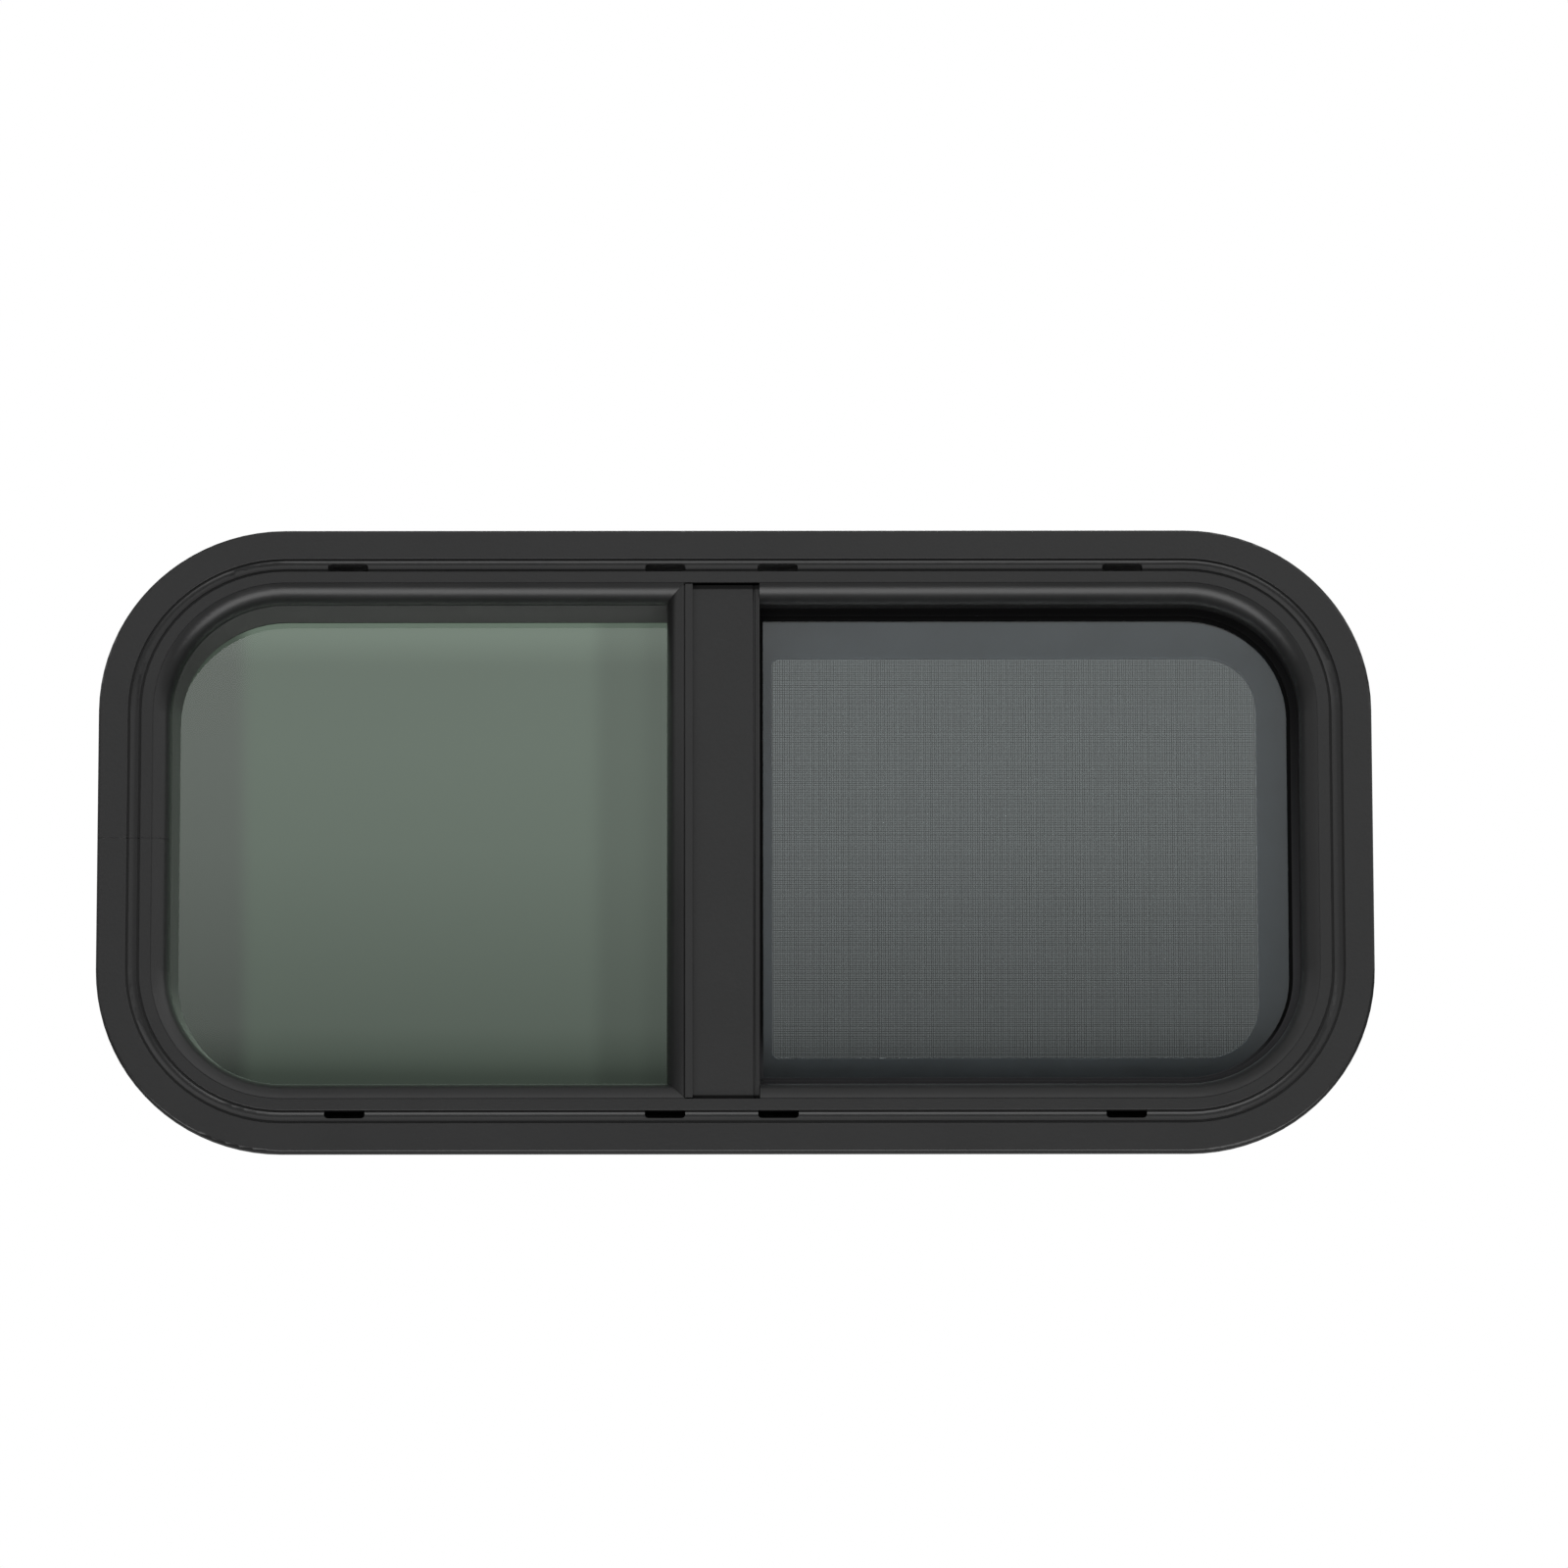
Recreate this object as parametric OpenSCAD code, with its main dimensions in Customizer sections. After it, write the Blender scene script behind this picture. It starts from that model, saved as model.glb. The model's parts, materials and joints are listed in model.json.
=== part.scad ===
// Sliding caravan window with rounded corners, whose flange seats on the outside
// of a wall while its barrel passes through. Outside faces -Y, up is +Z.
// The origin lies on the flange's seating face, in the middle of the bottom run.
// Profiles are drawn as (inset, height): inset runs in from the flange's edge, and
// height is measured outwards from the seating face.

/* [Outline] */
// Overall width over the flange
overall_w = 600; // [520:1:900]
// Overall height over the flange
overall_h = 300; // [290:1:500]
// Radius of the flange's outer corners
corner_r = 87.5; // [80:0.5:100]

/* [Flange] */
// Depth of the flange, from its front face back to its seating face
flange_d = 6; // [5:0.5:8]
// Thickness of the flange's face
face_t = 1.6; // [1.4:0.1:2]
// Width of the flange's rim, which seats on the wall
rim_w = 1.8; // [1.6:0.1:2.4]
// Radius of the rim's front edge
rim_r = 1.2; // [0.8:0.1:1.4]
// Distance from the flange's edge in to the first groove
groove_inset = 13.9; // [12:0.1:14.2]
// Width of the two grooves
groove_w = 1.1; // [0.8:0.1:1.6]
// Depth of the two grooves
groove_d = 1.1; // [0.6:0.1:1.4]
// Width of the hollowed strip between the grooves
strip_w = 3.9; // [3.5:0.1:5]
// Radius of the hollow in that strip
hollow_r = 4; // [3.6:0.1:6]
// Radius of the grooves' outer edges
lip_r = 0.35; // [0.2:0.05:0.4]
// Distance from the flange's edge in to the start of the rounded bead
bead_inset = 25.4; // [24:0.1:27]
// Radius of the rounded bead that turns into the reveal
bead_r = 8.7; // [7.5:0.1:9.5]
// Width of the hairline that sets the bead off from the flange's face
hairline_w = 0.4; // [0.2:0.05:0.5]

/* [Barrel and tracks] */
// Thickness of the extrusion's walls behind the flange
frame_wall = 1.4; // [1.2:0.1:1.8]
// Distance from the flange's edge in to the barrel that passes through the wall
barrel_inset = 15; // [14.6:0.1:16]
// Depth of the tracks' floor below the reveal
track_floor = 4.1; // [3.8:0.1:4.6]
// Height of each track rib above the floor of its track
track_h = 5.7; // [4.5:0.1:6.5]
// Thickness of each track rib
track_rib_t = 1.2; // [1:0.1:1.4]
// How much lower than the track ribs the back wall ends
back_drop = 2; // [1:0.5:3]
// Width of the slot in the back, which holds the screws of an inner trim
chase_w = 3.2; // [3.2:0.1:3.6]
// Depth of the screw slot
chase_d = 8; // [7:0.5:10]
// Width of the joint between the two ends of the bent extrusion
joint_gap = 0.15; // [0.1:0.05:0.3]

/* [Weep slots] */
// Length of one weep slot
weep_l = 19; // [14:0.5:24]
// Height of one weep slot
weep_h = 3.8; // [2.6:0.1:4.2]
// Radius of the weep slots' outer corners
weep_r = 1.8; // [0.8:0.1:2]
// How far the outer weep slots' middles stand in from the start of the corners
weep_margin = 29.5; // [20:0.5:40]
// How far the middle of the weep slot on its left stands from the mullion
weep_left_gap = 9.5; // [8:0.5:16]
// How far the middle of the weep slot on its right stands from the mullion
weep_right_gap = 10; // [9:0.5:16]
// Diameter of the drain holes in the tracks' floor
drain_dia = 4; // [3:0.5:5]

/* [Glazing] */
// Thickness of both panes
glass_t = 4; // [3:0.5:4.5]
// Distance from the frame's front face back to the fixed pane
fixed_glass_d = 20; // [18:0.5:22]
// Distance between the two panes' facing sides
pane_gap = 7; // [7:0.1:8]
// Gap between the panes' edges and the tracks' floor
glass_gap = 2.2; // [2:0.1:2.6]
// Thickness of the glazing rubber's front leg
rubber_t = 1.8; // [1.4:0.1:2.2]
// How far the glazing rubber's nose stands up from the reveal
rubber_lip = 5.3; // [4.6:0.1:6.4]
// Thickness of the glazing strip in front of the rubber
glazing_strip_t = 1.4; // [1.2:0.1:1.6]
// How far the glazing strip stands up from the reveal
strip_lip = 3.6; // [2.8:0.1:4.2]
// How far the track filler's nose stands up from the reveal
filler_lip = 3.3; // [2.8:0.1:4.2]

/* [Mullion] */
// Place across the width of the mullion's left side
mullion_left = -23.5; // [-26:0.5:-21]
// Place across the width of the mullion's right side
mullion_right = 10.1; // [9:0.1:12]
// Distance from the frame's front face back to the mullion's face
mullion_face_d = 3.5; // [2.5:0.1:4.5]
// Gap between the flange's face and the end of the mullion's face
mullion_end_gap = 1.2; // [0.6:0.1:2]
// Width of the line between the vertical bead and its flat strip
bead_line_w = 0.8; // [0.4:0.1:0.9]
// Width of the flat strip beside the vertical bead
bead_flat_w = 3.4; // [2.5:0.1:4.5]
// Width of the seal between the mullion and the fixed pane
mullion_seal_w = 2.4; // [1.6:0.1:3]
// How far the mullion covers the fixed pane's edge
glass_cover = 7.6; // [6:0.1:9]

/* [Sliding sash] */
// Width of the sliding sash's meeting stile
stile_w = 18; // [15:0.5:19]
// How far the meeting stile stands in from the mullion's left side
stile_set = 2.5; // [1:0.5:4]
// How far the meeting stile grips the sliding pane
stile_grip = 11; // [8:0.5:12]
// Length of the latch on the meeting stile
latch_l = 62; // [50:1:80]
// Width of the latch on the meeting stile
latch_w = 12; // [10:0.5:13]
// Length of the latch's sliding lever
lever_l = 24; // [16:1:28]
// Length of one glide under the sliding pane
glide_l = 24; // [16:1:36]

/* [Fly screen] */
// Gap between the sliding pane and the fly screen
screen_gap = 5; // [4.8:0.1:6]
// Thickness of the screen frame
screen_t = 5; // [4.5:0.1:8]
// Width of the screen frame's bars
screen_bar_w = 22.7; // [18:0.1:24]
// Radius of the corners of the screen's opening
screen_r = 25; // [18:0.5:32]
// How much of the screen frame's left stile shows beside the mullion
screen_show = 5; // [3:0.5:8]
// Width of the groove that the spline is pressed into
spline_w = 4; // [3:0.1:5]
// Width of the lip that the cloth lies on, round the screen's opening
lip_w = 2; // [1.6:0.1:2.4]
// Height of that lip above the screen frame's front
lip_t = 3; // [2.6:0.1:3.2]
// Thickness of the screen cloth
cloth_t = 0.4; // [0.3:0.05:0.6]
// Length of one finger pull on the screen frame
pull_l = 22; // [16:1:30]

/* [Hidden] */
// Clearance between pieces that seat on each other
seat = 0.1;
// How far cutters reach past what they cut
over = 1;
// Running clearance of the sash and the screen in their tracks
running = 0.3;
// Wide running clearance of the screen between its track's ribs
screen_play = 0.6;
// Height of the extrusion's joint above the window's middle
joint_y = 0.8;
// Thickness of the glazing rubber's back leg
rubber_back_t = 2;
// Thickness of the run channel's base
channel_t = 0.8;
// Thickness of the thin walls around the latch
thin_t = 0.6;
// Distance from the outer track's rib back to the meeting stile
stile_rise = 1.5;
// Width of the pile strip in front of the meeting stile
pile_w = 6;
// Radius of the screen opening's two left corners
screen_left_r = 3;
// Thickness of the screen frame in front of the groove for its cord
groove_floor = 1.5;
// Half the overall width and height, and the height of the window's middle
half_w = overall_w / 2;
half_h = overall_h / 2;
mid_z = half_h - rim_w / 2;
// Half the length of the straight runs
run_x = half_w - corner_r;
run_y = half_h - corner_r;
// Insets, from the flange's edge inwards
strip_inset = groove_inset + groove_w;
groove_inset_b = strip_inset + strip_w;
face_inset_b = groove_inset_b + groove_w;
reveal_inset = bead_inset + bead_r;
floor_inset = reveal_inset - track_floor;
rib_inset = floor_inset + track_h;
glass_inset = floor_inset + glass_gap;
screen_edge_inset = floor_inset + running;
screen_inset = screen_edge_inset + screen_bar_w;
chase_inset = (barrel_inset + floor_inset) / 2;
// Depths, from the frame's front face backwards
reveal_d = fixed_glass_d - rubber_t - glazing_strip_t - 3 * seat;
rubber_d = fixed_glass_d - seat - rubber_t;
glaze_back_d = fixed_glass_d + glass_t + rubber_back_t;
fixed_rib_d = glaze_back_d + seat;
slide_front_d = fixed_rib_d + track_rib_t;
sliding_glass_d = fixed_glass_d + glass_t + pane_gap;
sliding_back_d = sliding_glass_d + glass_t;
screen_d = sliding_back_d + screen_gap;
screen_back_d = screen_d + screen_t;
screen_rib_d = screen_d - screen_play - track_rib_t;
back_wall_d = screen_back_d + screen_play;
frame_d = back_wall_d + frame_wall;
// Places across the width
strip_x = mullion_left + bead_flat_w;
notch_right = mullion_right + frame_wall;
fixed_glass_x = mullion_right - glass_cover;
stile_left = mullion_left + stile_set;
stile_right = stile_left + stile_w;
latch_x = (stile_left + stile_right) / 2;
pile_x = mullion_left + pile_w;
screen_left = mullion_right + mullion_seal_w + screen_show;
screen_outer_x = screen_left - screen_bar_w;
// Depths of the meeting stile and what it carries
stile_front_d = slide_front_d + stile_rise;
stile_back_d = screen_rib_d - screen_play;
latch_pocket_d = sliding_back_d + seat + thin_t;
latch_floor_d = latch_pocket_d + seat;
lever_floor_d = latch_floor_d + thin_t + seat;
keeper_d = fixed_glass_d + glass_t / 2 + face_t + seat;
far = 2 * (overall_w + overall_h);
$fn = 48;

// Height above the seating face of a point so far behind the front face
function back(d) = flange_d - d;

// Evenly spaced places from one to another
function places(a, b, count) = [for (i = [0 : count - 1]) a + (b - a) * i / (count - 1)];

// Turns the flat window upright, with the outside to -Y and the origin at the bottom run
module stand() {
    translate([0, 0, mid_z]) rotate([90, 0, 0]) children();
}

// One straight run of a profile, along the top edge
module run(length, half_across) {
    translate([length / 2, half_across, 0])
        rotate([90, 0, -90]) linear_extrude(length) children();
}

// A profile swept around the whole rounded outline
module around() {
    for (turn = [0, 180]) rotate(turn) {
        run(2 * run_x, half_h) children();
        rotate(90) run(2 * run_y, half_w) children();
        translate([run_x, run_y, 0]) rotate_extrude(angle = 90)
            translate([corner_r, 0]) mirror([1, 0]) children();
        translate([-run_x, run_y, 0]) rotate(90) rotate_extrude(angle = 90)
            translate([corner_r, 0]) mirror([1, 0]) children();
    }
}

// Keeps what lies right of a place across the width
module right_of(x) {
    intersection() {
        union() children();
        translate([x, -far / 2, -far / 2]) cube(far);
    }
}

// Keeps what lies left of a place across the width
module left_of(x) {
    intersection() {
        union() children();
        translate([x - far, -far / 2, -far / 2]) cube(far);
    }
}

// A rectangle of a profile, from one inset and depth to another
module bar(inset_a, inset_b, depth_a, depth_b) {
    translate([inset_a, back(depth_b)])
        square([inset_b - inset_a, depth_b - depth_a]);
}

// The same with its two front corners rounded
module soft_bar(inset_a, inset_b, depth_b, r_a, r_b) {
    bar(inset_a + r_a, inset_b - r_b, 0, depth_b);
    bar(inset_a, inset_a + 2 * r_a, r_a, depth_b);
    bar(inset_b - 2 * r_b, inset_b, r_b, depth_b);
    translate([inset_a + r_a, back(r_a)]) circle(r_a);
    translate([inset_b - r_b, back(r_b)]) circle(r_b);
}

// The window's outline, so far in from the flange's edge
module outline(inset, r) {
    w = overall_w - 2 * inset;
    h = overall_h - 2 * inset;
    square([w - 2 * r, h], center = true);
    square([w, h - 2 * r], center = true);
    for (sx = [-1, 1], sy = [-1, 1])
        translate([sx * (w / 2 - r), sy * (h / 2 - r)]) circle(r);
}

// The outline's right part, from a place across the width
module right_outline(inset, r, x) {
    intersection() {
        outline(inset, r);
        translate([x, -half_h]) square([overall_w, overall_h]);
    }
}

// A plate of an outline's shape between two depths
module plate(depth_a, depth_b) {
    translate([0, 0, back(depth_b)]) linear_extrude(depth_b - depth_a) children();
}

// A box upright in the window between places across, up and in depth
module block(x_a, x_b, y_a, y_b, depth_a, depth_b) {
    translate([x_a, y_a, back(depth_b)])
        cube([x_b - x_a, y_b - y_a, depth_b - depth_a]);
}

// A box with round ends, along the width or the height
module round_block(x, y, length, width, depth_a, depth_b, upright) {
    plate(depth_a, depth_b) translate([x, y]) rotate(upright ? 90 : 0) {
        square([length - width, width], center = true);
        for (side = [-1, 1])
            translate([side * (length - width) / 2, 0]) circle(width / 2);
    }
}

// A wall upright between the top and bottom runs, clear of the reveal and the track ribs
module upright(x_a, x_b, depth_a, depth_b) {
    reveal_end = half_h - reveal_inset - seat;
    rib_end = half_h - rib_inset - seat;
    split = fixed_rib_d - seat;
    if (depth_a < split)
        block(x_a, x_b, -reveal_end, reveal_end, depth_a, min(depth_b, split));
    if (depth_b > split)
        block(x_a, x_b, -rib_end, rib_end, max(depth_a, split), depth_b);
}

// Section of the flange: rim, face, two grooves and the hollowed strip between them
module flange_section() {
    bar(0, rim_w, rim_r, flange_d);
    soft_bar(0, groove_inset, face_t, rim_r, lip_r);
    bar(groove_inset - 2 * lip_r, face_inset_b + 2 * lip_r, groove_d, groove_d + face_t);
    difference() {
        bar(strip_inset, groove_inset_b, 0, groove_d + seat);
        translate([strip_inset + strip_w / 2,
            back(0) + sqrt(pow(hollow_r, 2) - pow(strip_w / 2 - seat, 2))]) circle(hollow_r);
    }
    difference() {
        soft_bar(face_inset_b, bead_inset + hairline_w, face_t, lip_r, seat);
        bar(bead_inset, bead_inset + hairline_w + seat, -over, hairline_w);
    }
}

// Section of the rounded bead and the reveal behind it
module bead_section() {
    difference() {
        intersection() {
            translate([bead_inset, back(bead_r)]) circle(bead_r);
            bar(bead_inset, reveal_inset + over, -over, bead_r);
        }
        translate([bead_inset, back(bead_r)]) circle(bead_r - face_t);
        bar(bead_inset - over, bead_inset + hairline_w, -over, hairline_w);
    }
    bar(reveal_inset - frame_wall, reveal_inset, bead_r - seat, reveal_d);
}

// Section of the barrel, its tracks and the screw slot in its back
module barrel_section() {
    bar(barrel_inset, barrel_inset + frame_wall, face_t, frame_d);
    bar(floor_inset - frame_wall, reveal_inset, reveal_d - frame_wall, reveal_d);
    bar(floor_inset - frame_wall, floor_inset, reveal_d - frame_wall, frame_d);
    for (depth = [fixed_rib_d, screen_rib_d])
        bar(floor_inset - frame_wall, rib_inset, depth, depth + track_rib_t);
    difference() {
        bar(barrel_inset, rib_inset - back_drop, back_wall_d, frame_d);
        bar(chase_inset - chase_w / 2, chase_inset + chase_w / 2, 0, frame_d + over);
    }
    for (side = [-1, 1])
        bar(chase_inset + side * (chase_w + frame_wall) / 2 - frame_wall / 2,
            chase_inset + side * (chase_w + frame_wall) / 2 + frame_wall / 2,
            frame_d - chase_d, frame_d);
}

// Bent extrusion with its weep slots and drains, cut away where the mullion meets it
module outer_frame() {
    weep_reach = run_x - weep_margin;
    weep_x = [-weep_reach, mullion_left - weep_left_gap,
        mullion_right + weep_right_gap, weep_reach];
    color("dimgray") stand() difference() {
        around() {
            flange_section();
            bead_section();
            barrel_section();
        }
        for (x = weep_x) {
            weep_slot(x);
            mirror([0, 1, 0]) weep_slot(x);
            for (depth = [fixed_glass_d, sliding_glass_d])
                translate([x, -half_h + floor_inset + over, back(depth + glass_t / 2)])
                    rotate([90, 0, 0]) cylinder(h = frame_wall + 2 * over, d = drain_dia);
        }
        mullion_notch();
        mirror([0, 1, 0]) mullion_notch();
        block(-half_w - over, -half_w + rib_inset + over, joint_y, joint_y + joint_gap,
            -over, frame_d + over);
    }
}

// Cutter for one weep slot, from the inner groove's wall into the hollowed strip
module weep_slot(x) {
    y = half_h - face_inset_b;
    plate(-over, groove_d + face_t + over) translate([x, y]) {
        translate([-weep_l / 2, 0]) square([weep_l, weep_h - weep_r]);
        translate([weep_r - weep_l / 2, 0]) square([weep_l - 2 * weep_r, weep_h]);
        for (side = [-1, 1])
            translate([side * (weep_l / 2 - weep_r), weep_h - weep_r]) circle(weep_r);
    }
}

// Room for the mullion's end in the bead, with a mitre towards the vertical bead
module mullion_notch() {
    block(mullion_left - seat, notch_right, 0, half_h - bead_inset, -over, bead_r);
    translate([0, 0, back(bead_r)]) linear_extrude(bead_r + over)
        polygon([
            [mullion_left, half_h - bead_inset],
            [mullion_left - bead_r, half_h - reveal_inset],
            [mullion_left, half_h - reveal_inset - bead_r]
        ]);
}

// Splice plate on the barrel, behind the joint in the bent extrusion
module frame_joint_plate() {
    plate_l = 60;
    plate_w = 18;
    plate_t = 1.5;
    edge_gap = 8;
    x = -half_w + barrel_inset - seat;
    color("silver") stand()
        block(x - plate_t, x, -plate_l / 2, plate_l / 2,
            flange_d + edge_gap, flange_d + edge_gap + plate_w);
}

// Centre bar with a folded face and two legs that reach back to the panes
module mullion() {
    face_end = half_h - bead_inset - mullion_end_gap;
    pane_leg_d = fixed_glass_d + glass_t / 2;
    line_w = 0.9;
    edge_w = 0.7;
    color("dimgray") stand() difference() {
        union() {
            block(mullion_left, mullion_right, -face_end, face_end,
                mullion_face_d, mullion_face_d + face_t);
            upright(mullion_left, mullion_left + face_t, mullion_face_d, sliding_glass_d - running);
            upright(mullion_right - face_t, mullion_right,
                mullion_face_d, fixed_glass_d - mullion_seal_w);
            upright(mullion_left, fixed_glass_x - running, pane_leg_d, pane_leg_d + face_t);
        }
        block(mullion_right - edge_w - line_w, mullion_right - edge_w, -half_h, half_h,
            0, mullion_face_d + line_w);
    }
}

// Section of the vertical bead, from its flat strip to its rounded edge
module mullion_bead_section() {
    foot_d = mullion_face_d - seat;
    difference() {
        intersection() {
            translate([0, back(bead_r)]) circle(bead_r);
            bar(0, bead_r + over, -over, bead_r);
        }
        translate([0, back(bead_r)]) circle(bead_r - face_t);
        bar(-over, bead_line_w, -over, bead_line_w);
    }
    bar(-bead_flat_w, seat, 0, face_t);
    bar(-bead_flat_w, face_t - bead_flat_w, 0, foot_d);
    bar(bead_r - frame_wall, bead_r, bead_r - seat, sliding_glass_d - running);
}

// Rounded strip beside the mullion, mitred into the frame's bead at both ends
module mullion_bead() {
    reach = half_h - bead_inset - seat;
    flat_end = reach - mullion_end_gap / 2;
    x = mullion_left;
    color("dimgray") stand() intersection() {
        translate([x, -reach, 0]) rotate([90, 0, 180])
            linear_extrude(2 * reach) mullion_bead_section();
        union() {
            translate([0, 0, back(bead_r)]) linear_extrude(bead_r + over) polygon([
                [x, flat_end], [x, reach], [x - bead_r, reach - bead_r],
                [x - bead_r, bead_r - reach], [x, -reach], [x, -flat_end],
                [strip_x, -flat_end], [strip_x, flat_end]
            ]);
            upright(x - bead_r, x, bead_r, frame_d);
        }
    }
}

// Rubber seal between the mullion's right leg and the fixed pane
module mullion_seal() {
    reach = half_h - reveal_inset - rubber_lip - seat;
    color([0.08, 0.08, 0.08]) stand()
        block(mullion_right - face_t, mullion_right + mullion_seal_w, -reach, reach,
            fixed_glass_d - mullion_seal_w + seat, fixed_glass_d - seat);
}

// Fixed pane in the outer track of the right half
module fixed_glass() {
    color([0.45, 0.5, 0.48, 0.6]) stand()
        plate(fixed_glass_d, fixed_glass_d + glass_t)
            right_outline(glass_inset, corner_r - glass_inset, fixed_glass_x);
}

// Rubber channel around the fixed pane's edge
module glazing_rubber() {
    end_gap = 1;
    color([0.08, 0.08, 0.08]) stand() right_of(notch_right + end_gap) around() {
        bar(floor_inset + seat, glass_inset - seat, rubber_d, glaze_back_d);
        bar(floor_inset + seat, reveal_inset + rubber_lip, rubber_d, fixed_glass_d - seat);
        bar(floor_inset + seat, rib_inset, fixed_glass_d + glass_t + seat, glaze_back_d);
    }
}

// Snap-in strip in front of the glazing rubber
module glazing_strip() {
    color([0.08, 0.08, 0.08]) stand() right_of(mullion_right + seat) around()
        bar(floor_inset + seat, reveal_inset + strip_lip,
            reveal_d + seat, reveal_d + seat + glazing_strip_t);
}

// Sliding pane in the middle track of the left half
module sliding_glass() {
    color([0.5, 0.58, 0.54, 0.6]) stand()
        plate(sliding_glass_d, sliding_back_d) mirror([1, 0])
            right_outline(glass_inset, corner_r - glass_inset, -stile_left - stile_grip + seat);
}

// Sloping strip that closes the empty outer track beside the sliding pane
module track_filler() {
    nose_d = sliding_glass_d - running;
    skin_t = 1;
    color("gray") stand() left_of(mullion_left - bead_r - seat) around() {
        polygon([
            [reveal_inset + seat, back(bead_r + skin_t)],
            [reveal_inset + filler_lip, back(nose_d)],
            [rib_inset + seat, back(nose_d)],
            [rib_inset + seat, back(fixed_rib_d - seat)],
            [reveal_inset + seat, back(reveal_d + skin_t)]
        ]);
        bar(floor_inset + seat, reveal_inset + 2 * seat,
            reveal_d + seat, reveal_d + seat + glazing_strip_t);
    }
}

// Pile-lined channel that the sliding pane runs in
module run_channel() {
    top = rib_inset - 2 * seat;
    color([0.12, 0.12, 0.12]) stand() around() {
        bar(floor_inset + seat, floor_inset + seat + channel_t,
            slide_front_d + seat, screen_rib_d - seat);
        bar(floor_inset + seat, top, slide_front_d + seat, sliding_glass_d - running);
        bar(floor_inset + seat, top, sliding_back_d + running, screen_rib_d - seat);
    }
}

// Meeting stile on the sliding pane's edge, behind the mullion
module sash_stile() {
    reach = half_h - rib_inset - running;
    color("dimgray") stand() difference() {
        block(stile_left, stile_right, -reach, reach, stile_front_d, stile_back_d);
        block(mullion_left, stile_left + stile_grip, -half_h, half_h,
            sliding_glass_d - seat, sliding_back_d + seat);
        round_block(latch_x, 0, latch_l + 2 * seat, latch_w + 2 * seat,
            latch_pocket_d, frame_d, true);
    }
}

// Pile strip between the mullion and the meeting stile
module sash_seal() {
    reach = half_h - rib_inset - running;
    color([0.15, 0.15, 0.15]) stand()
        block(pile_x, pile_x + pile_w, -reach, reach, keeper_d, stile_front_d - seat);
}

// Nylon glides under the sliding pane, in its channel
module sash_glides() {
    edge = 12;
    color("whitesmoke") stand()
        for (x = [-run_x + edge, stile_left - 2 * edge - glide_l])
            block(x, x + glide_l, -half_h + floor_inset + channel_t + 2 * seat,
                -half_h + glass_inset - seat, sliding_glass_d, sliding_back_d);
}

// Latch body let into the meeting stile
module latch_body() {
    recess = 6;
    color([0.1, 0.1, 0.1]) stand() difference() {
        round_block(latch_x, 0, latch_l, latch_w, latch_floor_d, stile_back_d, true);
        round_block(latch_x, 0, latch_l - recess, latch_w - recess / 2,
            latch_floor_d + thin_t, frame_d, true);
    }
}

// Sliding lever of the latch, with grip ribs
module latch_lever() {
    lever_margin = 4;
    plate_t = 0.5;
    rib_l = 1.2;
    ribs = 6;
    lever_w = latch_w - lever_margin;
    x = latch_x - lever_w / 2;
    color([0.14, 0.14, 0.14]) stand() {
        block(x, x + lever_w, -lever_l / 2, lever_l / 2, lever_floor_d, lever_floor_d + plate_t);
        for (y = places(-lever_l / 2, lever_l / 2 - rib_l, ribs))
            block(x, x + lever_w, y, y + rib_l, lever_floor_d, stile_back_d);
    }
}

// Catch plate on the mullion for the latch
module latch_keeper() {
    keeper_l = 30;
    keeper_w = 7;
    keeper_gap = 1;
    x = pile_x + pile_w + keeper_gap;
    color("silver") stand()
        block(x, x + keeper_w, -keeper_l / 2, keeper_l / 2, keeper_d, stile_front_d - seat);
}

// Outline of the screen frame, or of a smaller shape of the same form
module screen_outline(inset, r, x, left_r) {
    intersection() {
        outline(inset, r);
        union() {
            translate([x + left_r, -half_h]) square([overall_w, overall_h]);
            translate([x, -half_h + inset + left_r])
                square([overall_w, overall_h - 2 * inset - 2 * left_r]);
            for (side = [-1, 1])
                translate([x + left_r, side * (half_h - inset - left_r)]) circle(left_r);
        }
    }
}

// A band of the screen frame's form, from one distance outside its opening to another
module screen_band(outer, inner) {
    difference() {
        screen_outline(screen_inset - outer, screen_r + outer,
            screen_left - outer, screen_left_r + outer);
        screen_outline(screen_inset - inner, screen_r + inner,
            screen_left - inner, screen_left_r + inner);
    }
}

// Flat frame of the fly screen, in the innermost track behind the fixed pane
module screen_frame() {
    edge_r = corner_r - screen_edge_inset;
    outer_left_r = 4;
    color([0.25, 0.26, 0.27]) stand() difference() {
        plate(screen_d, screen_back_d) difference() {
            screen_outline(screen_edge_inset, edge_r, screen_outer_x, outer_left_r);
            screen_outline(screen_inset, screen_r, screen_left, screen_left_r);
        }
        plate(screen_d + groove_floor, screen_back_d + over) screen_band(spline_w + lip_w, lip_w);
        plate(screen_d + lip_t, screen_back_d + over) screen_band(lip_w + seat, -over);
    }
}

// Rubber cord pressed into the screen frame's groove over the cloth's edge
module screen_spline() {
    cord_rise = 1;
    color([0.1, 0.1, 0.1]) stand()
        plate(screen_d + groove_floor + seat, screen_d + lip_t + cord_rise)
            screen_band(spline_w + lip_w - seat, lip_w + seat);
}

// Fly screen cloth across the opening of its frame
module screen_mesh() {
    cloth_d = screen_d + lip_t + seat;
    color([0.3, 0.32, 0.32, 0.8]) stand() plate(cloth_d, cloth_d + cloth_t)
        screen_outline(screen_inset - lip_w, screen_r + lip_w,
            screen_left - lip_w, screen_left_r + lip_w);
}

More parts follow.
